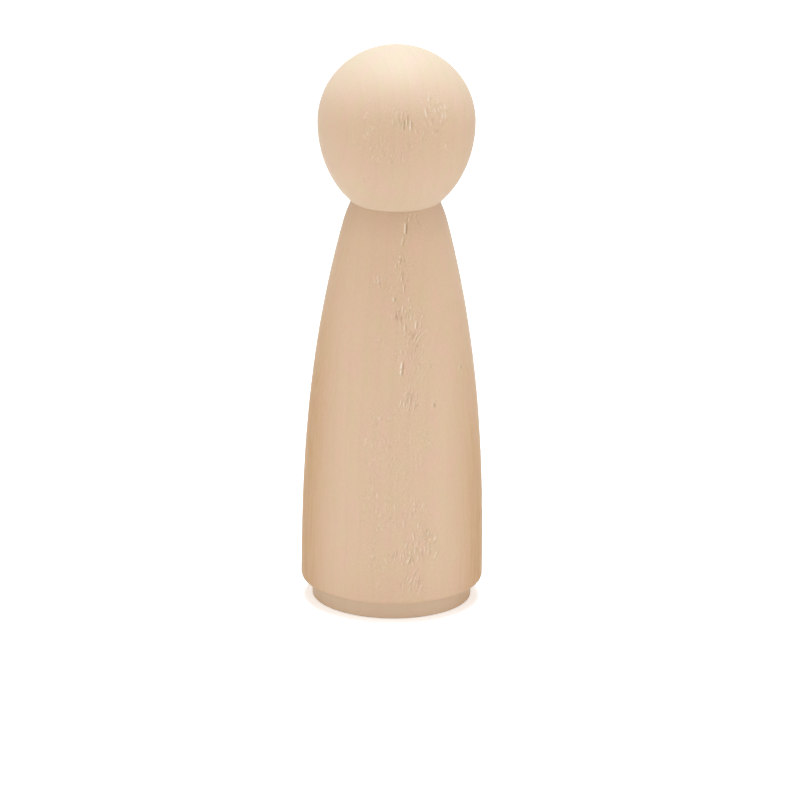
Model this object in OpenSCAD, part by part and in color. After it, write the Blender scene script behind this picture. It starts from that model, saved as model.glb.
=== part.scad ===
// Peg doll: a turned head that turns on a hidden dowel, a tapered body and a stepped foot.
// Millimetres, +Z up. The origin is the centre of the foot's underside.

/* [Doll] */
// Height from the table to the crown
doll_h = 120; // [90:1:160]

/* [Head] */
// Diameter of the head at its widest ring
head_d = 33; // [26:0.5:40]
// Height of the crown above the widest ring
crown_h = 16; // [12:0.5:22]
// Depth that the lower half would have below the widest ring if the seat didn't cut it off
chin_h = 20.6; // [16:0.1:26]

/* [Body] */
// Diameter of the body at its widest, just above the lower edge
body_d = 38.3; // [34:0.1:46]
// Diameter at the neck, which is the lower edge of the head
neck_d = 18.7; // [15:0.1:23]
// Power of the taper: 1 is a straight cone, and more keeps the lower body fuller
taper_power = 2.45; // [1.2:0.05:4]
// How far the taper would stand out beyond the head's edge if the neck cut didn't narrow it
taper_out = 0.3; // [0:0.05:1]
// Height of the neck cut, the straight slope in to the head
neck_cut_h = 3; // [1:0.5:6]
// How far the head's edge overhangs the top of the neck cut
neck_overhang = 0.15; // [0.05:0.05:0.6]
// Rounding of the body's lower edge
body_edge_r = 1.2; // [0.2:0.1:2]

/* [Foot] */
// Diameter of the foot's disc
foot_d = 33.5; // [24:0.5:34]
// Height of the step that the foot makes below the body
foot_h = 3.8; // [2:0.1:8]
// Rounding of the foot's lower edge
foot_edge_r = 0.3; // [0.1:0.1:1]
// Diameter of the spigot on top of the disc
spigot_d = 12; // [8:0.5:18]
// Length of the spigot above the disc
spigot_l = 10; // [6:0.5:16]

/* [Neck pin] */
// Diameter of the dowel
pin_d = 8; // [6:0.5:10]
// Length of the dowel, half of it in the head and half in the body
pin_l = 30; // [20:1:36]

/* [Fits] */
// Radial clearance of the head on the dowel, a close turning fit
turn_gap = 0.06; // [0.02:0.01:0.1]
// Radial clearance that holds the glue round the dowel and round the spigot
glue_gap = 0.05; // [0.02:0.01:0.1]
// Clearance between the head's seat and the body's shoulder
seat_gap = 0.03; // [0.02:0.01:0.3]
// Space left past the ends of the dowel and of the spigot
end_gap = 1; // [0.5:0.1:2]
// Chamfer on the ends of the dowel and the spigot, and round the mouths of their holes
lead_in = 0.8; // [0.3:0.1:1.5]

/* [Hidden] */
// How far a hole runs past the face that it opens
overrun = 1;
// Straight steps along each long curve of a profile
curve_steps = 40;
// Straight steps round each small edge
edge_steps = 6;
$fn = 96;

head_z = doll_h - crown_h;
// Angle below the widest ring at which the head has narrowed to the neck
seat_angle = acos(neck_d / head_d);
seat_z = head_z - chin_h * sin(seat_angle);

shoulder_z = seat_z - seat_gap;
side_bottom_z = foot_h + body_edge_r;
side_h = shoulder_z - side_bottom_z;
taper_top_r = neck_d / 2 + taper_out;

pin_bottom_z = shoulder_z - pin_l / 2;
pin_top_z = pin_bottom_z + pin_l;
spigot_top_z = foot_h + spigot_l;

// Points of a stretch of an ellipse from one angle to another, without its last point,
// which is the first point of the next stretch
function arc(centre, half_w, half_h, from, to, steps) = [
    for (i = [0:steps - 1])
        let (angle = from + (to - from) * i / steps)
        centre + [half_w * cos(angle), half_h * sin(angle)]
];

// Quarter arc round the outside of a lower edge
function lower_edge(outer_r, bottom_z, edge_r) =
    arc([outer_r - edge_r, bottom_z + edge_r], edge_r, edge_r, -90, 0, edge_steps);

// Points up the body's taper, from the lower edge to the neck cut
function body_side() = [
    for (i = [0:curve_steps])
        let (rise = (side_h - neck_cut_h) * i / curve_steps)
        [
            body_d / 2 - (body_d / 2 - taper_top_r) * pow(rise / side_h, taper_power),
            side_bottom_z + rise
        ]
];

// A blind hole on the axis, from its chamfered mouth to its flat end
module hole(d, mouth_z, end_z) {
    inward = sign(end_z - mouth_z);
    rotate_extrude()
        polygon([
            [0, end_z],
            [d / 2, end_z],
            [d / 2, mouth_z + inward * lead_in],
            [d / 2 + lead_in, mouth_z],
            [d / 2 + lead_in, mouth_z - inward * overrun],
            [0, mouth_z - inward * overrun]
        ]);
}

module head() {
    color("#f0dcc2")
        difference() {
            rotate_extrude()
                polygon(concat(
                    [[0, seat_z]],
                    arc([0, head_z], head_d / 2, chin_h, -seat_angle, 0, curve_steps),
                    arc([0, head_z], head_d / 2, crown_h, 0, 90, curve_steps),
                    [[0, doll_h]]
                ));
            hole(pin_d + 2 * turn_gap, seat_z, pin_top_z + end_gap);
        }
}

module neck_pin() {
    color("#d9b88c")
        rotate_extrude()
            polygon([
                [0, pin_bottom_z],
                [pin_d / 2 - lead_in, pin_bottom_z],
                [pin_d / 2, pin_bottom_z + lead_in],
                [pin_d / 2, pin_top_z - lead_in],
                [pin_d / 2 - lead_in, pin_top_z],
                [0, pin_top_z]
            ]);
}

module body() {
    color("#e6ccae")
        difference() {
            rotate_extrude()
                polygon(concat(
                    [[0, foot_h]],
                    lower_edge(body_d / 2, foot_h, body_edge_r),
                    body_side(),
                    [[neck_d / 2 - neck_overhang, shoulder_z], [0, shoulder_z]]
                ));
            hole(pin_d + 2 * glue_gap, shoulder_z, pin_bottom_z - end_gap);
            hole(spigot_d + 2 * glue_gap, foot_h, spigot_top_z + end_gap);
        }
}

module foot() {
    color("#e2c6a6")
        rotate_extrude()
            polygon(concat(
                [[0, 0]],
                lower_edge(foot_d / 2, 0, foot_edge_r),
                [
                    [foot_d / 2, foot_edge_r],
                    [foot_d / 2, foot_h],
                    [spigot_d / 2, foot_h],
                    [spigot_d / 2, spigot_top_z - lead_in],
                    [spigot_d / 2 - lead_in, spigot_top_z],
                    [0, spigot_top_z]
                ]
            ));
}

head();
neck_pin();
body();
foot();
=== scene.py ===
import math
import random

import bpy
from mathutils import Matrix, Quaternion, Vector
from mathutils.bvhtree import BVHTree


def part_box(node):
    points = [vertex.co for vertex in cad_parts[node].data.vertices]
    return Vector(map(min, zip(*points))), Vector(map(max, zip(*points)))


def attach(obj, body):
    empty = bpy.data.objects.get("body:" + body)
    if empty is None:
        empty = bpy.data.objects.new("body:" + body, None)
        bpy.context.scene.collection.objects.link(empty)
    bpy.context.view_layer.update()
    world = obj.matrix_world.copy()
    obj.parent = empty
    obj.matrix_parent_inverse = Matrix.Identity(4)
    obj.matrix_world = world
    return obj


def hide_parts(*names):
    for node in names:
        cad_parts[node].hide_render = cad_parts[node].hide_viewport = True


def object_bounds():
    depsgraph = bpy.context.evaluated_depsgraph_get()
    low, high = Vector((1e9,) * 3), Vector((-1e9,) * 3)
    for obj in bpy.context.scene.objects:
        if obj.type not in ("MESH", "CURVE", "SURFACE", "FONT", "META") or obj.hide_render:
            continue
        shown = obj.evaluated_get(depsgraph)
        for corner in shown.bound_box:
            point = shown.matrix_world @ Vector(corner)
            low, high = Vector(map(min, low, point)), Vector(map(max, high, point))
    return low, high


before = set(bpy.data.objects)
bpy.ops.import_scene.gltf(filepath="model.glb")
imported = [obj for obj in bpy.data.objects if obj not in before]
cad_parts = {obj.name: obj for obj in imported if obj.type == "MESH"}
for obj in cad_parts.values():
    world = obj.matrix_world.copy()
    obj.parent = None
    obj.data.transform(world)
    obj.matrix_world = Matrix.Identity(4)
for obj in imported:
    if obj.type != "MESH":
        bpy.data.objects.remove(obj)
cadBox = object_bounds()
mm = 0.001
scene = bpy.context.scene
scene.view_settings.view_transform = "Standard"
print("frame loaded:", ", ".join(sorted(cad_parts)))


def linear(hexColour):
    channels = [int(hexColour[i:i + 2], 16) / 255 for i in (1, 3, 5)]
    return [c / 12.92 if c <= 0.04045 else ((c + 0.055) / 1.055) ** 2.4 for c in channels] + [1.0]


# adds one node: settings are its properties, inputs are values, sockets or nodes (their first output)
def addNode(tree, kind, inputs=None, **settings):
    node = tree.nodes.new(kind)
    for name, value in settings.items():
        setattr(node, name, value)
    for key, value in (inputs or {}).items():
        if isinstance(value, bpy.types.Node):
            value = value.outputs[0]
        if isinstance(value, bpy.types.NodeSocket):
            tree.links.new(value, node.inputs[key])
        else:
            node.inputs[key].default_value = value
    return node


# Camera: a long lens looking a little down, rolled a touch as the picture is

cameraView = {
    "lens": 343.0,               # mm on a 36 mm sensor
    "sensor": 36.0,
    "distance": 1600 * mm,       # from the middle of the doll
    "elevation": 17.5,           # degrees above the horizon
    "roll": 0.64,                # degrees
    "aim": Vector((1.37, 0.0, 42.93)) * mm,
    "picture": 800,              # pixels a side
    "clip": (0.01, 50.0),        # m
}


def makeCamera(view):
    middle = Vector((0.0, 0.0, (cadBox[0].z + cadBox[1].z) / 2))
    tilt = math.radians(view["elevation"])
    place = middle + view["distance"] * Vector((0.0, -math.cos(tilt), math.sin(tilt)))
    look = (view["aim"] - place).to_track_quat("-Z", "Y")
    turn = look @ Quaternion((0.0, 0.0, 1.0), math.radians(view["roll"]))
    data = bpy.data.cameras.new("camera")
    data.lens = view["lens"]
    data.sensor_width = view["sensor"]
    data.clip_start, data.clip_end = view["clip"]
    camera = bpy.data.objects.new("camera", data)
    camera.location = place
    camera.rotation_mode = "QUATERNION"
    camera.rotation_quaternion = turn
    scene.collection.objects.link(camera)
    scene.camera = camera
    return place, turn


cameraPlace, cameraTurn = makeCamera(cameraView)
pixelReach = cameraView["lens"] / cameraView["sensor"] * cameraView["picture"]  # pixels per unit slope
pixelsPerMm = pixelReach / cameraView["distance"] * mm
print("camera set:", round(pixelsPerMm, 2), "pixels to the mm")


# where the sight line through a pixel of the picture meets a surface
def meetSightLine(surface, pixel):
    half = cameraView["picture"] / 2
    ray = Vector(((pixel[0] - half) / pixelReach, (half - pixel[1]) / pixelReach, -1.0))
    return surface.ray_cast(cameraPlace, (cameraTurn @ ray).normalized())[0]


# Torn grain: where the gouge met rising fibres it lifted short slivers, each a pit with a burr beside it

tornGrain = {
    "depth": 0.2,              # mm, the deepest pit
    "burr": 0.35,              # height of the burr, as a share of the pit's depth
    "step": 0.2,               # mm between the points that mark a tear
    "endFade": (1.05, 0.45),   # half lengths from the middle, from where a tear ends to where it is full
    "pitFade": (1.1, 0.15),    # half widths from its line, from the rim of the pit to its floor
    "burrPlace": 1.7,          # half widths from the line of the pit to the line of the burr
    "burrFade": (1.0, 0.1),    # half widths from there, from the foot of the burr to its top
    "fineLength": (0.7, 1.8),  # mm, the short tears of a patch
    "fineWidth": (0.2, 0.32),
    "fineForce": (0.5, 1.0),   # share of the force of the patch
    "flipped": 0.35,           # share of the short tears with the burr on their right
    "leanSpread": 9.0,         # degrees
    "speckDepth": 0.25,        # share of the deepest pit
    "speckLength": 1.2,        # times its width
    "twinTurn": 171.0,         # degrees: a stick tears on two opposite sides, less behind
    "twinForce": 0.6,
}

# tears: pixels of the top and the foot, width in mm, force
# patches of fine tears: pixel, spread in pixels across and down, lean in degrees, count, force
# specks, where a bud or a pin knot was: pixel, width in mm, darkness
headTorn = {
    "seed": 5,
    "tears": [
        ((399, 113), (400, 127), 0.36, 0.55),
        ((404.5, 119), (404, 131), 0.42, 0.9),
        ((408, 115), (407.6, 127), 0.4, 0.8),
        ((411.5, 120), (411.6, 131), 0.4, 0.9),
        ((396, 120), (396.2, 127), 0.3, 0.4),
        ((426, 107), (428.5, 118), 0.46, 0.6),
        ((434, 104), (439, 118), 0.46, 0.55),
        ((441, 103), (442, 111), 0.32, 0.45),
        ((445, 104), (446, 111), 0.32, 0.4),
        ((425, 120), (428, 127), 0.34, 0.4),
        ((367, 127), (367, 133), 0.3, 0.35),
        ((446.6, 144), (446, 149), 0.32, 0.45),
        ((401.6, 120), (401.4, 128), 0.28, 0.5),
        ((393.6, 119), (394, 126), 0.28, 0.45),
        ((430, 119), (433, 126), 0.3, 0.4),
        ((449, 106), (449.6, 111), 0.28, 0.35),
    ],
    "patches": [
        ((402, 114), (6, 3), 2, 7, 0.6),
        ((437, 112), (9, 7), -18, 16, 0.65),
        ((428, 134), (7, 4), -8, 6, 0.4),
        ((382, 152), (11, 8), -4, 28, 0.34),
        ((368, 124), (7, 10), 3, 7, 0.3),
    ],
    "specks": [
        ((437, 131), 0.5, 1.2), ((430.4, 98.5), 0.5, 1.0), ((384.4, 155), 0.36, 0.8), ((392, 162), 0.36, 0.8),
    ],
}
bodyTorn = {
    "seed": 9,
    "tears": [
        ((406.8, 222), (406, 235), 0.42, 1.0),
        ((404.6, 236), (402.2, 247), 0.34, 0.5),
        ((401.8, 255), (400, 265), 0.38, 0.75),
        ((404.4, 257), (404, 264), 0.3, 0.35),
        ((396.8, 263), (397, 269), 0.34, 0.5),
        ((403.2, 271), (402.4, 282), 0.38, 0.65),
        ((404.6, 284), (404.8, 293), 0.36, 0.5),
        ((379, 275), (380.4, 289), 0.42, 0.6),
        ((395, 297), (395, 302), 0.42, 0.9),
        ((395.4, 311), (397.6, 321), 0.44, 1.0),
        ((401.4, 315), (401.2, 323), 0.46, 0.9),
        ((405.8, 324), (406, 332), 0.4, 0.6),
        ((412.8, 312), (412, 321), 0.36, 0.5),
        ((417.6, 320), (416.6, 330), 0.42, 0.85),
        ((415.6, 332), (410.8, 342), 0.36, 0.7),
        ((418.6, 333), (414.6, 342), 0.34, 0.6),
        ((421.4, 335), (417.4, 344), 0.32, 0.5),
        ((403.8, 361), (402, 376), 0.46, 1.0),
        ((402.2, 349), (402.4, 355), 0.34, 0.45),
        ((407, 350), (407.2, 356), 0.32, 0.4),
        ((413.6, 390), (412.8, 397), 0.34, 0.6),
        ((412, 394), (410.6, 404), 0.38, 0.85),
        ((407.6, 397), (407, 404), 0.38, 0.65),
        ((404.6, 400), (405.4, 409), 0.34, 0.5),
        ((416.4, 404), (414, 411), 0.34, 0.55),
        ((381, 414), (381, 421), 0.32, 0.4),
        ((416.8, 503), (414.6, 514), 0.36, 0.6),
        ((395.2, 504), (396.4, 511), 0.32, 0.4),
        ((382, 513), (380.6, 519), 0.32, 0.4),
        ((428.4, 527), (425.4, 537), 0.36, 0.55),
        ((430.4, 539), (429, 549), 0.34, 0.45),
        ((422, 548), (422.2, 558), 0.4, 0.8),
        ((416.2, 547), (415.6, 556), 0.34, 0.5),
        ((397.4, 550), (396, 558), 0.38, 0.6),
        ((403.6, 550), (405, 558), 0.36, 0.55),
        ((438.4, 551), (434.6, 560), 0.36, 0.6),
        ((412, 556), (408.6, 564), 0.42, 0.9),
        ((412.4, 557), (414, 566), 0.34, 0.5),
        ((416.6, 572), (409.6, 585), 0.34, 0.6),
        ((420.2, 575), (417.4, 588), 0.38, 0.7),
        ((423.4, 584), (419.8, 594), 0.34, 0.5),
        ((419, 549), (419.4, 557), 0.28, 0.55),
        ((393.4, 552), (393, 559), 0.28, 0.45),
        ((411.6, 585), (409.4, 593), 0.28, 0.45),
        ((408.6, 312), (408, 320), 0.28, 0.5),
        ((421.4, 320), (421.2, 327), 0.28, 0.5),
        ((412.6, 333), (408.6, 342), 0.28, 0.5),
        ((410.4, 390), (409.6, 397), 0.28, 0.5),
    ],
    "patches": [
        ((412, 219), (5, 3), 0, 6, 0.6),
        ((404, 266), (3, 14), 4, 7, 0.55),
        ((383, 282), (4, 5), -4, 6, 0.5),
        ((403, 316), (7, 7), 3, 16, 0.75),
        ((416, 340), (5, 8), 24, 18, 0.7),
        ((410, 362), (9, 9), 4, 18, 0.45),
        ((410, 400), (5, 8), 12, 14, 0.7),
        ((383, 416), (8, 5), 2, 6, 0.4),
        ((411, 436), (10, 8), 4, 8, 0.3),
        ((377, 508), (9, 8), 6, 14, 0.4),
        ((415, 510), (6, 6), 14, 10, 0.5),
        ((394, 523), (9, 8), 2, 14, 0.45),
        ((426, 541), (7, 6), 4, 26, 0.75),
        ((409, 556), (11, 5), 2, 20, 0.7),
        ((415, 582), (6, 6), 26, 16, 0.65),
        ((374, 560), (6, 8), -6, 6, 0.35),
        ((400, 438), (15, 11), 3, 20, 0.28),
        ((396, 470), (15, 11), 3, 20, 0.28),
    ],
    "specks": [
        ((434.6, 405), 0.7, 1.5), ((461, 367), 0.75, 1.3), ((431, 367), 0.5, 0.9), ((418, 222), 0.5, 0.8),
        ((424, 232), 0.4, 0.6), ((381, 339), 0.4, 0.5), ((412, 380), 0.4, 0.5),
    ],
}


# marks every tear of a node as a row of points that carry its middle, its two directions,
# its size (half width, half length, depth) and its paint (painted shade in a pit and a speck's own knot dark,
# paler fibre with painted highlight on the burr)
def markTears(name, node, torn):
    surface = BVHTree.FromObject(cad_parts[node], bpy.context.evaluated_depsgraph_get())
    chance = random.Random(torn["seed"])
    tears = [(top, foot, width, force, force, 1.0) for top, foot, width, force in torn["tears"]]
    for (x, y), (spreadAcross, spreadDown), lean, count, force in torn["patches"]:
        for i in range(count):
            middle = (chance.gauss(x, spreadAcross), chance.gauss(y, spreadDown))
            half = chance.uniform(*tornGrain["fineLength"]) * pixelsPerMm / 2
            slope = math.radians(chance.gauss(lean, tornGrain["leanSpread"]))
            run, drop = half * math.sin(slope), half * math.cos(slope)
            width = chance.uniform(*tornGrain["fineWidth"])
            strength = force * chance.uniform(*tornGrain["fineForce"])
            burrSide = -1.0 if chance.random() < tornGrain["flipped"] else 1.0
            tears.append(((middle[0] + run, middle[1] - drop), (middle[0] - run, middle[1] + drop),
                          width, strength, strength, burrSide))
    for (x, y), width, dark in torn["specks"]:
        half = tornGrain["speckLength"] / 2 * width * pixelsPerMm
        tears.append(((x, y - half), (x, y + half), width, tornGrain["speckDepth"], dark, 1.0))

    behind = Matrix.Rotation(math.radians(tornGrain["twinTurn"]), 3, "Z")
    points, facts = [], {"middle": [], "along": [], "across": [], "size": [], "paint": []}
    for topPixel, footPixel, width, force, dark, burrSide in tears:
        top, foot = meetSightLine(surface, topPixel), meetSightLine(surface, footPixel)
        if top is None or foot is None:
            continue
        middle, along = (top + foot) / 2, (top - foot).normalized()
        across = burrSide * along.cross(Vector((middle.x, middle.y, 0.0))).normalized()
        length = (top - foot).length
        count = 1 + math.ceil(length / (tornGrain["step"] * mm))
        for turn, share in ((Matrix.Identity(3), 1.0), (behind, tornGrain["twinForce"])):
            for i in range(count):
                points.append(turn @ foot.lerp(top, i / (count - 1)))
                facts["middle"].extend(turn @ middle)
                facts["along"].extend(turn @ along)
                facts["across"].extend(turn @ across)
                facts["size"].extend((width * mm / 2, length / 2, tornGrain["depth"] * mm * force * share))
                facts["paint"].extend((dark * share, force * share, 0.0))
    mesh = bpy.data.meshes.new(name)
    mesh.from_pydata(points, [], [])
    for fact, values in facts.items():
        mesh.attributes.new(fact, "FLOAT_VECTOR", "POINT").data.foreach_set("vector", values)
    marks = bpy.data.objects.new(name, mesh)
    scene.collection.objects.link(marks)
    print(name, "marked:", len(tears), "tears and specks, and as many behind")
    return marks


# Lathe: every point of a profile becomes a ring, and the tears are sunk into the rings

lathe = {
    "columns": 330,      # round the axis
    "crowding": 0.75,    # how much closer the columns stand at the torn front and at the back
    "front": 8.0,        # degrees from -Y towards +X, where they stand closest
    "weld": 1e-7,        # m, closes the seam and the poles
    "sharpAngle": 32.0,  # degrees, edges sharper than this stay crisp
    "tearReach": 3.0,    # mm, no tear acts further away
    "rawReach": 3.5,     # mm round a tear where the fibres stand up a little
}


def makeLatheTree():
    tree = bpy.data.node_groups.new("turnOnLathe", "GeometryNodeTree")
    face = tree.interface
    face.new_socket("Profile", in_out="INPUT", socket_type="NodeSocketGeometry")
    for name, kind in (
        ("Columns", "NodeSocketInt"),
        ("Crowding", "NodeSocketFloat"),
        ("Front", "NodeSocketFloat"),
        ("Tears", "NodeSocketObject"),
        ("Burr", "NodeSocketFloat"),
        ("Tear Reach", "NodeSocketFloat"),
        ("Raw Reach", "NodeSocketFloat"),
        ("Wood", "NodeSocketMaterial"),
    ):
        face.new_socket(name, in_out="INPUT", socket_type=kind)
    face.new_socket("Piece", in_out="OUTPUT", socket_type="NodeSocketGeometry")
    given = addNode(tree, "NodeGroupInput").outputs

    # a sheet of points, one row per profile point and one column per step round the axis
    rows = addNode(tree, "GeometryNodeAttributeDomainSize", {0: given["Profile"]}, component="MESH")
    columns = addNode(tree, "ShaderNodeMath", {0: given["Columns"], 1: 1.0}, operation="ADD")
    sheet = addNode(tree, "GeometryNodeMeshGrid", {"Vertices X": columns, "Vertices Y": rows})
    index = addNode(tree, "GeometryNodeInputIndex")
    row = addNode(tree, "ShaderNodeMath", {0: index, 1: rows}, operation="FLOORED_MODULO")
    ahead = addNode(tree, "ShaderNodeMath", {0: index, 1: rows}, operation="DIVIDE")
    column = addNode(tree, "ShaderNodeMath", {0: ahead}, operation="FLOOR")
    around = addNode(tree, "ShaderNodeMath", {0: column, 1: given["Columns"]}, operation="DIVIDE")
    even = addNode(tree, "ShaderNodeMath", {0: around, 1: math.tau}, operation="MULTIPLY")

    # columns crowd towards the torn front and the back
    doubled = addNode(tree, "ShaderNodeMath", {0: even, 1: 2.0}, operation="MULTIPLY")
    swing = addNode(tree, "ShaderNodeMath", {0: doubled}, operation="SINE")
    half = addNode(tree, "ShaderNodeMath", {0: given["Crowding"], 1: 0.5}, operation="MULTIPLY")
    shift = addNode(tree, "ShaderNodeMath", {0: swing, 1: half}, operation="MULTIPLY")
    crowded = addNode(tree, "ShaderNodeMath", {0: even, 1: shift}, operation="SUBTRACT")
    angle = addNode(tree, "ShaderNodeMath", {0: crowded, 1: given["Front"]}, operation="ADD")

    # each column is the profile, turned to its own angle
    spot = addNode(tree, "GeometryNodeInputPosition")
    onProfile = addNode(
        tree, "GeometryNodeSampleIndex", {0: given["Profile"], 1: spot, 2: row}, data_type="FLOAT_VECTOR"
    )
    turned = addNode(
        tree, "ShaderNodeVectorRotate", {"Vector": onProfile, "Angle": angle}, rotation_type="Z_AXIS"
    )
    rings = addNode(tree, "GeometryNodeSetPosition", {"Geometry": sheet, "Position": turned})
    closed = addNode(tree, "GeometryNodeMergeByDistance", {"Geometry": rings, "Distance": lathe["weld"]})

    # smooth all over, crisp at the turned edges
    smooth = addNode(tree, "GeometryNodeSetShadeSmooth", {"Geometry": closed}, domain="FACE")
    bend = addNode(tree, "GeometryNodeInputMeshEdgeAngle").outputs["Unsigned Angle"]
    sharp = addNode(
        tree, "ShaderNodeMath", {0: bend, 1: math.radians(lathe["sharpAngle"])}, operation="GREATER_THAN"
    )
    crisp = addNode(
        tree, "GeometryNodeSetShadeSmooth", {"Geometry": smooth, "Selection": sharp, "Shade Smooth": False},
        domain="EDGE",
    )

    # the nearest tear, and this point's place along and across it
    tears = addNode(
        tree, "GeometryNodeObjectInfo", {"Object": given["Tears"]}, transform_space="ORIGINAL"
    ).outputs["Geometry"]
    here = addNode(tree, "GeometryNodeInputPosition")
    nearest = addNode(
        tree, "GeometryNodeSampleNearest", {"Geometry": tears, "Sample Position": here}, domain="POINT"
    )
    tear = {}
    for name in ("middle", "along", "across", "size", "paint"):
        fact = addNode(tree, "GeometryNodeInputNamedAttribute", {"Name": name}, data_type="FLOAT_VECTOR")
        tear[name] = addNode(
            tree, "GeometryNodeSampleIndex", {0: tears, 1: fact, 2: nearest}, data_type="FLOAT_VECTOR"
        )
    size = addNode(tree, "ShaderNodeSeparateXYZ", {0: tear["size"]}).outputs
    paint = addNode(tree, "ShaderNodeSeparateXYZ", {0: tear["paint"]}).outputs
    away = addNode(tree, "ShaderNodeVectorMath", {0: here, 1: tear["middle"]}, operation="SUBTRACT")
    far = addNode(tree, "ShaderNodeVectorMath", {0: away}, operation="LENGTH").outputs["Value"]
    near = addNode(tree, "ShaderNodeMath", {0: far, 1: given["Tear Reach"]}, operation="LESS_THAN")
    rise = addNode(tree, "ShaderNodeVectorMath", {0: away, 1: tear["along"]}, operation="DOT_PRODUCT")
    side = addNode(tree, "ShaderNodeVectorMath", {0: away, 1: tear["across"]}, operation="DOT_PRODUCT")
    upShare = addNode(tree, "ShaderNodeMath", {0: rise.outputs["Value"], 1: size["Y"]}, operation="DIVIDE")
    sideShare = addNode(tree, "ShaderNodeMath", {0: side.outputs["Value"], 1: size["X"]}, operation="DIVIDE")

    # the pit is deepest on the tear's line and fades at both ends, and the burr follows one side
    fromMiddle = addNode(tree, "ShaderNodeMath", {0: upShare}, operation="ABSOLUTE")
    start, full = tornGrain["endFade"]
    ends = addNode(
        tree, "ShaderNodeMapRange", {"Value": fromMiddle, "From Min": start, "From Max": full},
        interpolation_type="SMOOTHSTEP",
    )
    acting = addNode(tree, "ShaderNodeMath", {0: ends, 1: near}, operation="MULTIPLY")
    fromLine = addNode(tree, "ShaderNodeMath", {0: sideShare}, operation="ABSOLUTE")
    rim, floor = tornGrain["pitFade"]
    inPit = addNode(
        tree, "ShaderNodeMapRange", {"Value": fromLine, "From Min": rim, "From Max": floor},
        interpolation_type="SMOOTHSTEP",
    )
    pit = addNode(tree, "ShaderNodeMath", {0: inPit, 1: acting}, operation="MULTIPLY")
    leftOf = addNode(tree, "ShaderNodeMath", {0: sideShare, 1: tornGrain["burrPlace"]}, operation="ADD")
    fromBurr = addNode(tree, "ShaderNodeMath", {0: leftOf}, operation="ABSOLUTE")
    foot, top = tornGrain["burrFade"]
    onBurr = addNode(
        tree, "ShaderNodeMapRange", {"Value": fromBurr, "From Min": foot, "From Max": top},
        interpolation_type="SMOOTHSTEP",
    )
    burr = addNode(tree, "ShaderNodeMath", {0: onBurr, 1: acting}, operation="MULTIPLY")
    lift = addNode(tree, "ShaderNodeMath", {0: burr, 1: given["Burr"]}, operation="MULTIPLY")
    shape = addNode(tree, "ShaderNodeMath", {0: lift, 1: pit}, operation="SUBTRACT")
    height = addNode(tree, "ShaderNodeMath", {0: shape, 1: size["Z"]}, operation="MULTIPLY")
    normal = addNode(tree, "GeometryNodeInputNormal")
    offset = addNode(tree, "ShaderNodeVectorMath", {0: normal, "Scale": height}, operation="SCALE")

    # where the wood gets painted shade in a pit (and a speck's knot its own dark), paler fibre with painted
    # highlight on a burr, and raw fibre round them
    dark = addNode(tree, "ShaderNodeMath", {0: pit, 1: paint["X"]}, operation="MULTIPLY")
    pale = addNode(tree, "ShaderNodeMath", {0: burr, 1: paint["Y"]}, operation="MULTIPLY")
    raw = addNode(
        tree, "ShaderNodeMapRange", {"Value": far, "From Min": given["Raw Reach"], "From Max": 0.0},
        interpolation_type="SMOOTHSTEP",
    )
    noted = crisp
    for name, value in (("pitDark", dark), ("burrPale", pale), ("rawFibre", raw)):
        noted = addNode(
            tree, "GeometryNodeStoreNamedAttribute", {"Geometry": noted, "Name": name, "Value": value},
            data_type="FLOAT", domain="POINT",
        )
    cut = addNode(tree, "GeometryNodeSetPosition", {"Geometry": noted, "Offset": offset})
    real = addNode(tree, "GeometryNodeRealizeInstances", {"Geometry": cut})
    wood = addNode(tree, "GeometryNodeSetMaterial", {"Geometry": real, "Material": given["Wood"]})
    addNode(tree, "NodeGroupOutput", {"Piece": wood})
    return tree


latheTree = makeLatheTree()


# turns a profile, a list of (radius, height), into a plain mesh
def turnPiece(name, profile, wood, columns, tears=None):
    line = bpy.data.meshes.new(name)
    line.from_pydata([(r, 0.0, z) for r, z in profile], [(i, i + 1) for i in range(len(profile) - 1)], [])
    piece = bpy.data.objects.new(name, line)
    scene.collection.objects.link(piece)
    modifier = piece.modifiers.new("lathe", "NODES")
    modifier.node_group = latheTree
    sockets = {s.name: s.identifier for s in latheTree.interface.items_tree if s.in_out == "INPUT"}
    for socket, value in (
        ("Columns", columns),
        ("Crowding", lathe["crowding"]),
        ("Front", math.radians(lathe["front"]) - math.pi / 2),
        ("Tears", tears),
        ("Burr", tornGrain["burr"]),
        ("Tear Reach", lathe["tearReach"] * mm),
        ("Raw Reach", lathe["rawReach"] * mm),
        ("Wood", wood),
    ):
        modifier[sockets[socket]] = value
    graph = bpy.context.evaluated_depsgraph_get()
    solid = bpy.data.meshes.new_from_object(piece.evaluated_get(graph), depsgraph=graph)
    piece.modifiers.remove(modifier)
    piece.data = solid
    solid.name = name
    print(name, "turned:", len(solid.vertices), "points", len(solid.polygons), "faces")
    return piece


# Linden, turned, sanded and left bare: a pale, even tan with a pink cast, rings and fibres hardly seen, a
# soft low sheen, and on the two sides a darker warm tone, mostly painted shade deepening toward the limbs,
# with some quarter-sawn wood tone

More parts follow.
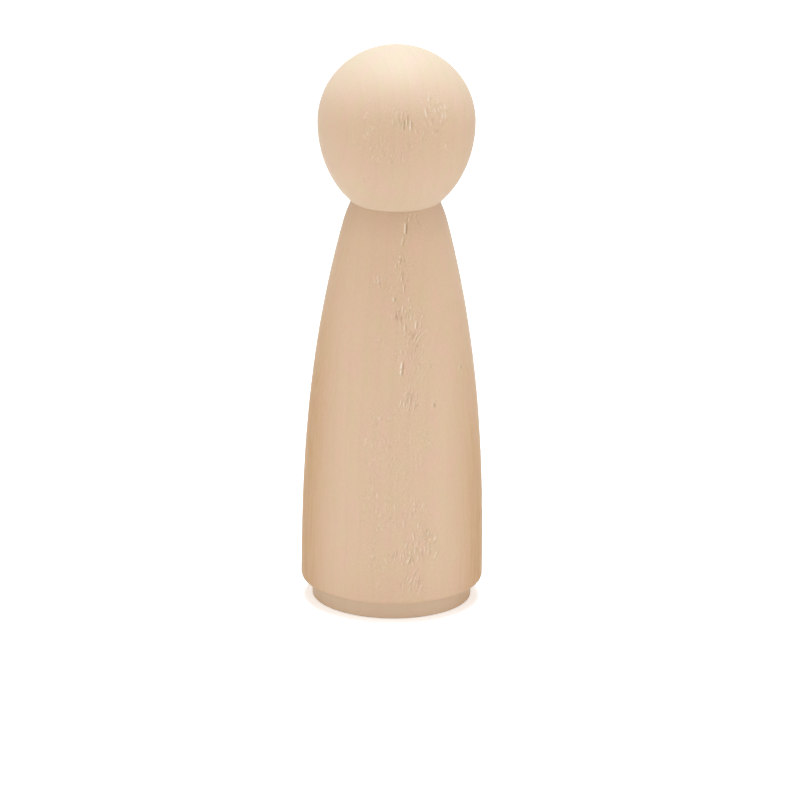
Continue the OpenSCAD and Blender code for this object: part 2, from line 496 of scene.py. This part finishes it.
lindenWood = {
    "pale": "#dec1a5",
    "deep": "#d9bb9f",
    "rose": "#e1b89f",
    "straw": "#dcbd98",
    "lateWood": "#c8a785",
    "fleck": "#bd9a78",
    "sideToneShade": "#bc8648",         # painted shade on the two sides, with some quarter-sawn wood tone
    "sideToneShadeAt": (0.5, 0.95),     # sines of the angles from the front at which it starts and is full
    "sideToneShadeBend": 2.1,           # how late it deepens between them
    "sideToneShadeShare": (0.6, 0.8),   # between pale and deep streaks
    "underHeadShade": "#cdaf94",        # painted shade under the head, at the top of the body
    "headRimLight": "#e2c4a7",         # painted bounce light on the head's lower rim, brightening toward its edge
    "footBounceLight": "#d8c0a7",        # painted cool bounce light from the floor, on the foot
    "rimShare": 0.8,            # of these three
    "pitShadeAndKnotDark": "#866a50",        # painted shade on the floor of a pit, and a pin knot's own dark in a speck
    "pitShadeAndKnotShare": 0.3,
    "paleFibreAndHighlight": "#fbeedd",         # paler raised fibre of a burr, with painted highlight where it faces the light
    "paleFibreAndHighlightShare": 0.88,
    "lit": "#ead2b8",           # the tops of the nap
    "ringWidth": 3.1,           # mm between growth rings
    "ringShare": 0.07,
    "ringCurve": ((0.7, 0.35), (0.92, 1.0)),  # share of the year, depth of the late wood
    "swayLength": 28.0,         # mm over which the grain wanders
    "swayWidth": 4.0,           # mm to the sides
    "streakWidth": 0.5,         # mm across a fibre streak
    "streakLength": 17.0,       # mm along it
    "streakColour": (0.25, 0.75),  # of its noise, from pale to deep
    "streakSheen": (0.3, 0.7),  # of its noise, from smooth to rough
    "fleckWidth": 0.22,         # mm; real rays are finer and would not show
    "fleckLength": 0.8,
    "fleckEdge": (0.36, 0.1),   # of its cell, from the edge to full
    "fleckShare": 0.1,
    "stippleWidth": 0.24,       # mm, the nap that sanding leaves, drawn coarser so that it shows
    "stippleLength": 0.42,
    "stippleShare": (0.08, 0.24),  # on smooth wood and on raw wood
    "napRange": (0.52, 0.72),   # of its noise, where it is dark
    "napTopRange": (0.48, 0.28),  # and where its tops catch the light
    "mottle": 2.8,              # mm across a rose or straw patch
    "mottleRange": (0.3, 0.7),  # of its noise, from straw to rose
    "mottleShare": 0.75,
    "roughness": (0.5, 0.64),
    "ior": 1.5,
    "specular": 0.18,
    "bumpHeight": 0.025,        # mm
    "bumpStrength": 0.5,
}


# pith is the place of the tree's middle in mm, and lean tilts the grain
# sideToneShade: the heights in mm at which the painted side shade starts to fade and is gone, and how they
# slope across
# rim: the heights in mm at which a painted tone of light or shade starts and is full, and that tone
def makeLinden(name, pith, lean, seed, sideToneShade, rim):
    w = lindenWood
    material = bpy.data.materials.new(name)
    material.use_nodes = True
    tree = material.node_tree
    tree.nodes.clear()
    place = addNode(tree, "ShaderNodeTexCoord").outputs["Object"]
    inMm = addNode(tree, "ShaderNodeMapping", {"Vector": place, "Scale": (1 / mm, 1 / mm, 1 / mm)})
    inWood = addNode(tree, "ShaderNodeMapping", {"Vector": inMm, "Location": pith, "Rotation": lean})
    sway = addNode(
        tree, "ShaderNodeTexNoise", {"Vector": inWood, "Scale": 1 / w["swayLength"], "Detail": 2.0}
    ).outputs["Color"]
    swayMm = addNode(tree, "ShaderNodeVectorMath", {0: sway, "Scale": w["swayWidth"]}, operation="SCALE")
    swayed = addNode(tree, "ShaderNodeVectorMath", {0: inWood, 1: swayMm}, operation="ADD")

    # growth rings darken slowly through the year and end in a thin line
    flat = addNode(tree, "ShaderNodeVectorMath", {0: swayed, 1: (1, 1, 0)}, operation="MULTIPLY")
    fromPith = addNode(tree, "ShaderNodeVectorMath", {0: flat}, operation="LENGTH").outputs["Value"]
    ringCount = addNode(tree, "ShaderNodeMath", {0: fromPith, 1: w["ringWidth"]}, operation="DIVIDE")
    year = addNode(tree, "ShaderNodeMath", {0: ringCount}, operation="FRACT")
    lateWood = addNode(tree, "ShaderNodeFloatCurve", {"Value": year})
    line = lateWood.mapping.curves[0]
    line.points[0].location = (0.0, 0.0)
    line.points[1].location = (1.0, 0.0)
    for share, depth in w["ringCurve"]:
        line.points.new(share, depth)

    # streaks, flecks, nap and mottle all run along the grain, each at its own size
    grain = {}
    for pattern, width, length, shift in (
        ("streak", w["streakWidth"], w["streakLength"], 0.0),
        ("fleck", w["fleckWidth"], w["fleckLength"], 9.0),
        ("stipple", w["stippleWidth"], w["stippleLength"], 15.0),
        ("mottle", w["mottle"], 2 * w["mottle"], 21.0),
    ):
        grain[pattern] = addNode(
            tree, "ShaderNodeMapping",
            {
                "Vector": swayed, "Location": (seed + shift, seed, shift),
                "Scale": (1 / width, 1 / width, 1 / length),
            },
        )
    streak = addNode(tree, "ShaderNodeTexNoise", {"Vector": grain["streak"], "Scale": 1.0, "Detail": 3.0})
    stipple = addNode(tree, "ShaderNodeTexNoise", {"Vector": grain["stipple"], "Scale": 1.0, "Detail": 1.0})
    mottle = addNode(tree, "ShaderNodeTexNoise", {"Vector": grain["mottle"], "Scale": 1.0, "Detail": 2.0})
    cells = addNode(tree, "ShaderNodeTexVoronoi", {"Vector": grain["fleck"], "Scale": 1.0})
    ranges = {}
    for mark, value, (start, full) in (
        ("fleck", cells.outputs["Distance"], w["fleckEdge"]),
        ("streak", streak, w["streakColour"]),
        ("hue", mottle, w["mottleRange"]),
        ("nap", stipple, w["napRange"]),
        ("napTop", stipple, w["napTopRange"]),
    ):
        ranges[mark] = addNode(
            tree, "ShaderNodeMapRange", {"Value": value, "From Min": start, "From Max": full}
        )

    colour = addNode(
        tree, "ShaderNodeMix", {0: ranges["streak"], 6: linear(w["pale"]), 7: linear(w["deep"])},
        data_type="RGBA",
    )
    hue = addNode(
        tree, "ShaderNodeMix", {0: ranges["hue"], 6: linear(w["straw"]), 7: linear(w["rose"])},
        data_type="RGBA",
    )
    colour = addNode(
        tree, "ShaderNodeMix", {0: w["mottleShare"], 6: colour.outputs[2], 7: hue.outputs[2]},
        data_type="RGBA",
    )

    # a rim gets a painted tone of its own: shade on the body under the head, light on the head's lower rim,
    # cool bounce light on the foot
    axes = addNode(tree, "ShaderNodeSeparateXYZ", {0: inMm}).outputs
    rimHere = addNode(
        tree, "ShaderNodeMapRange",
        {"Value": axes["Z"], "From Min": rim[0], "From Max": rim[1], "To Max": w["rimShare"]},
    )
    colour = addNode(
        tree, "ShaderNodeMix", {0: rimHere, 6: colour.outputs[2], 7: linear(w[rim[2]])}, data_type="RGBA"
    )

    # painted shade in a darker warm tone covers the two sides and deepens toward the limbs, with some
    # quarter-sawn wood tone in it, and ends on a slant up the stick
    level = addNode(tree, "ShaderNodeVectorMath", {0: inMm, 1: (1, 1, 0)}, operation="MULTIPLY")
    radius = addNode(tree, "ShaderNodeVectorMath", {0: level}, operation="LENGTH").outputs["Value"]
    sine = addNode(tree, "ShaderNodeMath", {0: axes["X"], 1: radius}, operation="DIVIDE")
    sideways = addNode(tree, "ShaderNodeMath", {0: sine}, operation="ABSOLUTE")
    toSide = addNode(
        tree, "ShaderNodeMapRange",
        {"Value": sideways, "From Min": w["sideToneShadeAt"][0], "From Max": w["sideToneShadeAt"][1]},
    )
    deepening = addNode(tree, "ShaderNodeMath", {0: toSide, 1: w["sideToneShadeBend"]}, operation="POWER")
    slope = (sideToneShade[2], 0.0, 1.0)
    slanted = addNode(tree, "ShaderNodeVectorMath", {0: inMm, 1: slope}, operation="DOT_PRODUCT")
    fade = addNode(
        tree, "ShaderNodeMapRange",
        {"Value": slanted.outputs["Value"], "From Min": sideToneShade[1], "From Max": sideToneShade[0]},
    )
    sideToneShadeMost = addNode(tree, "ShaderNodeMath", {0: deepening, 1: fade}, operation="MULTIPLY")
    sideToneShadeGrain = addNode(
        tree, "ShaderNodeMapRange",
        {
            "Value": streak, "From Min": w["streakSheen"][0], "From Max": w["streakSheen"][1],
            "To Min": w["sideToneShadeShare"][0], "To Max": w["sideToneShadeShare"][1],
        },
    )
    sideToneShadeHere = addNode(
        tree, "ShaderNodeMath", {0: sideToneShadeMost, 1: sideToneShadeGrain}, operation="MULTIPLY", use_clamp=True
    )
    colour = addNode(
        tree, "ShaderNodeMix", {0: sideToneShadeHere, 6: colour.outputs[2], 7: linear(w["sideToneShade"])}, data_type="RGBA"
    )

    # raw fibre shows its nap more than sanded wood does
    raw = addNode(tree, "ShaderNodeAttribute", attribute_name="rawFibre").outputs["Fac"]
    napShare = addNode(
        tree, "ShaderNodeMapRange",
        {"Value": raw, "To Min": w["stippleShare"][0], "To Max": w["stippleShare"][1]},
    )
    # painted shade in the pits (a speck's knot dark too), and paler fibre with painted highlight on the burrs
    pitDark = addNode(tree, "ShaderNodeAttribute", attribute_name="pitDark").outputs["Fac"]
    burrPale = addNode(tree, "ShaderNodeAttribute", attribute_name="burrPale").outputs["Fac"]
    for mark, share, tone in (
        (lateWood, w["ringShare"], "lateWood"),
        (ranges["fleck"], w["fleckShare"], "fleck"),
        (ranges["nap"], napShare, "fleck"),
        (ranges["napTop"], napShare, "lit"),
        (burrPale, w["paleFibreAndHighlightShare"], "paleFibreAndHighlight"),
        (pitDark, w["pitShadeAndKnotShare"], "pitShadeAndKnotDark"),
    ):
        strength = addNode(tree, "ShaderNodeMath", {0: mark, 1: share}, operation="MULTIPLY", use_clamp=True)
        colour = addNode(
            tree, "ShaderNodeMix", {0: strength, 6: colour.outputs[2], 7: linear(w[tone])}, data_type="RGBA"
        )

    rough = addNode(
        tree, "ShaderNodeMapRange",
        {
            "Value": streak, "From Min": w["streakSheen"][0], "From Max": w["streakSheen"][1],
            "To Min": w["roughness"][0], "To Max": w["roughness"][1],
        },
    )
    napHeight = addNode(tree, "ShaderNodeMath", {0: ranges["nap"], 1: napShare}, operation="MULTIPLY")
    relief = addNode(tree, "ShaderNodeMath", {0: streak, 1: napHeight}, operation="SUBTRACT")
    bump = addNode(
        tree, "ShaderNodeBump",
        {"Height": relief, "Distance": w["bumpHeight"] * mm, "Strength": w["bumpStrength"]},
    )
    surface = addNode(
        tree, "ShaderNodeBsdfPrincipled",
        {
            "Base Color": colour.outputs[2], "Roughness": rough, "Normal": bump,
            "IOR": w["ior"], "Specular IOR Level": w["specular"],
        },
    )
    addNode(tree, "ShaderNodeOutputMaterial", {"Surface": surface})
    return material


# Beech, planed to a dowel: a warmer tan, sprinkled with short dark ray flecks

beechWood = {
    "seed": 41.0,
    "pale": "#dab88f",
    "deep": "#cba377",
    "fleck": "#a9794e",
    "streakWidth": 0.6,         # mm
    "streakLength": 20.0,
    "streakSheen": (0.3, 0.7),  # of its noise, from smooth to rough
    "fleckWidth": 0.3,          # mm
    "fleckLength": 2.4,
    "fleckEdge": (0.34, 0.12),  # of its cell, from the edge to full
    "fleckShare": 0.6,
    "roughness": (0.42, 0.55),
    "bumpHeight": 0.02,         # mm
    "bumpStrength": 0.5,
}


def makeBeech(name):
    w = beechWood
    material = bpy.data.materials.new(name)
    material.use_nodes = True
    tree = material.node_tree
    tree.nodes.clear()
    place = addNode(tree, "ShaderNodeTexCoord").outputs["Object"]
    inMm = addNode(tree, "ShaderNodeMapping", {"Vector": place, "Scale": (1 / mm, 1 / mm, 1 / mm)})
    alongStreak = addNode(
        tree, "ShaderNodeMapping",
        {
            "Vector": inMm, "Location": (w["seed"], w["seed"], 0.0),
            "Scale": (1 / w["streakWidth"], 1 / w["streakWidth"], 1 / w["streakLength"]),
        },
    )
    alongFleck = addNode(
        tree, "ShaderNodeMapping",
        {
            "Vector": inMm, "Location": (0.0, w["seed"], w["seed"]),
            "Scale": (1 / w["fleckWidth"], 1 / w["fleckWidth"], 1 / w["fleckLength"]),
        },
    )
    streak = addNode(tree, "ShaderNodeTexNoise", {"Vector": alongStreak, "Scale": 1.0, "Detail": 4.0})
    cells = addNode(tree, "ShaderNodeTexVoronoi", {"Vector": alongFleck, "Scale": 1.0})
    fleck = addNode(
        tree, "ShaderNodeMapRange",
        {
            "Value": cells.outputs["Distance"], "From Min": w["fleckEdge"][0],
            "From Max": w["fleckEdge"][1], "To Max": w["fleckShare"],
        },
    )
    fibre = addNode(
        tree, "ShaderNodeMix", {0: streak, 6: linear(w["pale"]), 7: linear(w["deep"])}, data_type="RGBA"
    )
    colour = addNode(
        tree, "ShaderNodeMix", {0: fleck, 6: fibre.outputs[2], 7: linear(w["fleck"])}, data_type="RGBA"
    )
    rough = addNode(
        tree, "ShaderNodeMapRange",
        {
            "Value": streak, "From Min": w["streakSheen"][0], "From Max": w["streakSheen"][1],
            "To Min": w["roughness"][0], "To Max": w["roughness"][1],
        },
    )
    bump = addNode(
        tree, "ShaderNodeBump",
        {"Height": streak, "Distance": w["bumpHeight"] * mm, "Strength": w["bumpStrength"]},
    )
    surface = addNode(
        tree, "ShaderNodeBsdfPrincipled",
        {"Base Color": colour.outputs[2], "Roughness": rough, "Normal": bump},
    )
    addNode(tree, "ShaderNodeOutputMaterial", {"Surface": surface})
    return material


# Profiles, from the axis round the outside and back to the axis

headLow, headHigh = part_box("head")
bodyLow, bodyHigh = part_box("body")
footLow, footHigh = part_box("foot")
pinLow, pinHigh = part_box("neck_pin")


def arcPoints(centre, width, height, start, stop, steps):
    angles = [math.radians(start + (stop - start) * i / steps) for i in range(steps + 1)]
    return [(centre[0] + width * math.cos(a), centre[1] + height * math.sin(a)) for a in angles]


fits = {
    "turnGap": 0.06 * mm,
    "glueGap": 0.05 * mm,
    "endGap": 1.0 * mm,
    "leadIn": 0.8 * mm,
    "neck": 9.35 * mm,       # radius of the head's lower edge
}

headTurning = {
    "crown": 16.0 * mm, "chin": 20.6 * mm,
    "lowerRows": 80, "upperRows": 90,
}


def headProfile(h):
    widest = (0.0, headHigh.z - h["crown"])
    seat = headLow.z
    radius = headHigh.x
    bore = pinHigh.x + fits["turnGap"]
    end = pinHigh.z + fits["endGap"]
    start = -math.degrees(math.acos(fits["neck"] / radius))
    inside = [(0.0, end), (bore, end), (bore, seat + fits["leadIn"]), (bore + fits["leadIn"], seat)]
    lower = arcPoints(widest, radius, h["chin"], start, 0.0, h["lowerRows"])
    upper = arcPoints(widest, radius, h["crown"], 0.0, 90.0, h["upperRows"])
    upper[-1] = (0.0, headHigh.z)
    return inside + lower + upper[1:]


bodyTurning = {
    "power": 2.45, "taperOut": 0.3 * mm, "cut": 3.0 * mm, "overhang": 0.15 * mm,
    "ease": 2.0 * mm,        # sanding softens the foot of the neck cut this far up and down
    "edge": 1.2 * mm, "spigot": 6.0 * mm,
    "rows": 250, "easeRows": 14, "cutRows": 4, "edgeRows": 8,
}


def bodyProfile(b):
    radius = bodyHigh.x
    socket = b["spigot"] + fits["glueGap"]
    socketEnd = footHigh.z + fits["endGap"]
    bore = pinHigh.x + fits["glueGap"]
    boreEnd = pinLow.z - fits["endGap"]
    sideLow = bodyLow.z + b["edge"]
    sideHeight = bodyHigh.z - sideLow
    taperTop = fits["neck"] + b["taperOut"]
    below = [(0.0, socketEnd), (socket, socketEnd), (socket, bodyLow.z + fits["leadIn"])]
    below.append((socket + fits["leadIn"], bodyLow.z))
    edge = arcPoints((radius - b["edge"], sideLow), b["edge"], b["edge"], -90.0, 0.0, b["edgeRows"])
    easeShare, cutShare = 1 - (b["cut"] + b["ease"]) / sideHeight, 1 - b["cut"] / sideHeight
    shares = [easeShare * i / b["rows"] for i in range(1, b["rows"] + 1)] + [cutShare]
    side = [(radius - (radius - taperTop) * s ** b["power"], sideLow + sideHeight * s) for s in shares]
    cutFoot = Vector(side.pop())
    cutTop = Vector((fits["neck"] - b["overhang"], bodyHigh.z))
    easeTop = cutFoot.lerp(cutTop, b["ease"] / b["cut"])
    for i in range(1, b["easeRows"] + 1):
        t = i / b["easeRows"]
        rising = Vector(side[b["rows"] - 1]).lerp(cutFoot, t)
        side.append(tuple(rising.lerp(cutFoot.lerp(easeTop, t), t)))
    cut = [tuple(easeTop.lerp(cutTop, i / b["cutRows"])) for i in range(1, b["cutRows"] + 1)]
    above = [(bore + fits["leadIn"], bodyHigh.z), (bore, bodyHigh.z - fits["leadIn"])]
    above += [(bore, boreEnd), (0.0, boreEnd)]
    return below + edge + side + cut + above


footTurning = {"edge": 0.3 * mm, "spigot": 6.0 * mm, "rows": 12, "edgeRows": 6, "columns": 240}


def footProfile(f):
    radius = footHigh.x
    low = footLow.z + f["edge"]
    edge = arcPoints((radius - f["edge"], low), f["edge"], f["edge"], -90.0, 0.0, f["edgeRows"])
    wall = [(radius, low + (bodyLow.z - low) * i / f["rows"]) for i in range(1, f["rows"] + 1)]
    spigot = [(f["spigot"], bodyLow.z), (f["spigot"], footHigh.z - fits["leadIn"])]
    spigot += [(f["spigot"] - fits["leadIn"], footHigh.z), (0.0, footHigh.z)]
    return [(0.0, footLow.z)] + edge + wall + spigot


pinTurning = {"columns": 96}


def pinProfile():
    radius = pinHigh.x
    lead = fits["leadIn"]
    return [
        (0.0, pinLow.z), (radius - lead, pinLow.z), (radius, pinLow.z + lead),
        (radius, pinHigh.z - lead), (radius - lead, pinHigh.z), (0.0, pinHigh.z),
    ]


# one stick each for the head, the body and the foot, so that their grain doesn't run on
seatMm, shoulderMm = headLow.z / mm, bodyHigh.z / mm
sticks = {
    "head": {
        "pith": (38.0, 21.0, 0.0), "lean": (0.02, -0.03, 0.0), "seed": 3.0,
        "sideToneShade": (50.0, 96.0, -0.8), "rim": (seatMm + 3.0, seatMm, "headRimLight"),
    # the head's lower rim lightens toward its edge: painted bounce light
    },
    "body": {
        "pith": (-46.0, 30.0, 0.0), "lean": (-0.015, 0.02, 0.0), "seed": 11.0,
        # the top of the body darkens upward toward the head: painted shade under the head
        "sideToneShade": (34.0, 86.0, 0.45), "rim": (shoulderMm - 7.0, shoulderMm + 0.5, "underHeadShade"),
    },
    "foot": {
        "pith": (29.0, -40.0, 0.0), "lean": (0.01, 0.02, 0.0), "seed": 29.0,
        "sideToneShade": (-20.0, 20.0, -0.3), "rim": (-2.0, -1.0, "footBounceLight"),  # painted cool bounce light all over
    },
}
headWood = makeLinden("lindenHead", **sticks["head"])
bodyWood = makeLinden("lindenBody", **sticks["body"])
footWood = makeLinden("lindenFoot", **sticks["foot"])
pinWood = makeBeech("beechDowel")
print("woods mixed")

headTears = markTears("headTears", "head", headTorn)
bodyTears = markTears("bodyTears", "body", bodyTorn)
turnedHead = turnPiece("turned_head", headProfile(headTurning), headWood, lathe["columns"], headTears)
turnedBody = turnPiece("turned_body", bodyProfile(bodyTurning), bodyWood, lathe["columns"], bodyTears)
turnedFoot = turnPiece("turned_foot", footProfile(footTurning), footWood, footTurning["columns"])
neckDowel = turnPiece("neck_dowel", pinProfile(), pinWood, pinTurning["columns"])
for marks in (headTears, bodyTears):
    bpy.data.meshes.remove(marks.data)

for piece, body, node, slot in (
    (turnedHead, "head", "head", "turned_wood"),
    (turnedBody, "body", "body", "turned_wood"),
    (turnedFoot, "body", "foot", "turned_wood"),
    (neckDowel, "body", "neck_pin", "dowel_wood"),
):
    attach(piece, body)
    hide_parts(node)
print("pieces ride on their bodies")


# Stage: a white floor that keeps the shadow, a white room, and soft light from above, in front and both sides

stage = {
    "floorSize": 6.0,            # m
    "floorDrop": 0.05 * mm,
    "floorColour": "#f4f3f2",
    "floorRoughness": 0.95,
    "liftNear": 0.44,            # added to what the eye sees of the floor, so that it reads as white paper
    "liftFar": 0.6,              # further off, where the lamps don't reach
    "liftFrom": 0.08,            # m from the doll
    "liftTo": 0.7,
    "ambient": "#fffcf6",
    "ambientStrength": 0.5,
}


def whiteForSight(tree):
    path = addNode(tree, "ShaderNodeLightPath").outputs
    seen = addNode(
        tree, "ShaderNodeMath", {0: path["Is Camera Ray"], 1: path["Is Glossy Ray"]}, operation="MAXIMUM"
    )
    return addNode(tree, "ShaderNodeMath", {0: seen, 1: path["Is Transmission Ray"]}, operation="MAXIMUM")


def makeFloor():
    half = stage["floorSize"] / 2
    mesh = bpy.data.meshes.new("floor")
    corners = [(-half, -half), (half, -half), (half, half), (-half, half)]
    mesh.from_pydata([(x, y, -stage["floorDrop"]) for x, y in corners], [], [(0, 1, 2, 3)])
    floor = bpy.data.objects.new("floor", mesh)
    scene.collection.objects.link(floor)
    paper = bpy.data.materials.new("whitePaper")
    paper.use_nodes = True
    tree = paper.node_tree
    tree.nodes.clear()
    place = addNode(tree, "ShaderNodeTexCoord").outputs["Object"]
    off = addNode(tree, "ShaderNodeVectorMath", {0: place}, operation="LENGTH").outputs["Value"]
    lift = addNode(
        tree, "ShaderNodeMapRange",
        {
            "Value": off, "From Min": stage["liftFrom"], "From Max": stage["liftTo"],
            "To Min": stage["liftNear"], "To Max": stage["liftFar"],
        },
        interpolation_type="SMOOTHSTEP",
    )
    seenLift = addNode(tree, "ShaderNodeMath", {0: whiteForSight(tree), 1: lift}, operation="MULTIPLY")
    surface = addNode(
        tree, "ShaderNodeBsdfPrincipled",
        {
            "Base Color": linear(stage["floorColour"]), "Roughness": stage["floorRoughness"],
            "Specular IOR Level": 0.0,
            "Emission Color": (1.0, 1.0, 1.0, 1.0), "Emission Strength": seenLift,
        },
    )
    addNode(tree, "ShaderNodeOutputMaterial", {"Surface": surface})
    mesh.materials.append(paper)


def makeWorld():
    world = bpy.data.worlds.new("whiteRoom")
    world.use_nodes = True
    scene.world = world
    tree = world.node_tree
    tree.nodes.clear()
    light = addNode(
        tree, "ShaderNodeBackground",
        {"Color": linear(stage["ambient"]), "Strength": stage["ambientStrength"]},
    )
    white = addNode(tree, "ShaderNodeBackground", {"Color": (1.0, 1.0, 1.0, 1.0), "Strength": 1.0})
    either = addNode(tree, "ShaderNodeMixShader", {0: whiteForSight(tree), 1: light, 2: white})
    addNode(tree, "ShaderNodeOutputWorld", {"Surface": either})


# place and size in metres, power in watts
softboxes = [
    {"name": "overhead", "place": (0.0, 0.09, 0.6), "size": 0.3, "power": 3.6, "colour": "#c1e6ff"},
    {"name": "front", "place": (0.0, -1.2, 0.08), "size": 0.4, "power": 4.25, "colour": "#fff7ee"},
    {"name": "leftSide", "place": (-1.0, -0.1, 0.5), "size": 0.6, "power": 2.0, "colour": "#ffffff"},
    {"name": "rightSide", "place": (1.0, -0.1, 0.5), "size": 0.6, "power": 2.15, "colour": "#ffffff"},
]


def makeSoftbox(box):
    data = bpy.data.lights.new(box["name"], "AREA")
    data.shape = "SQUARE"
    data.size = box["size"]
    data.energy = box["power"]
    data.color = linear(box["colour"])[:3]
    lamp = bpy.data.objects.new(box["name"], data)
    lamp.location = box["place"]
    middle = (cadBox[0] + cadBox[1]) / 2
    lamp.rotation_mode = "QUATERNION"
    lamp.rotation_quaternion = (middle - lamp.location).to_track_quat("-Z", "Y")
    scene.collection.objects.link(lamp)


makeFloor()
makeWorld()
for box in softboxes:
    makeSoftbox(box)
print("stage lit")
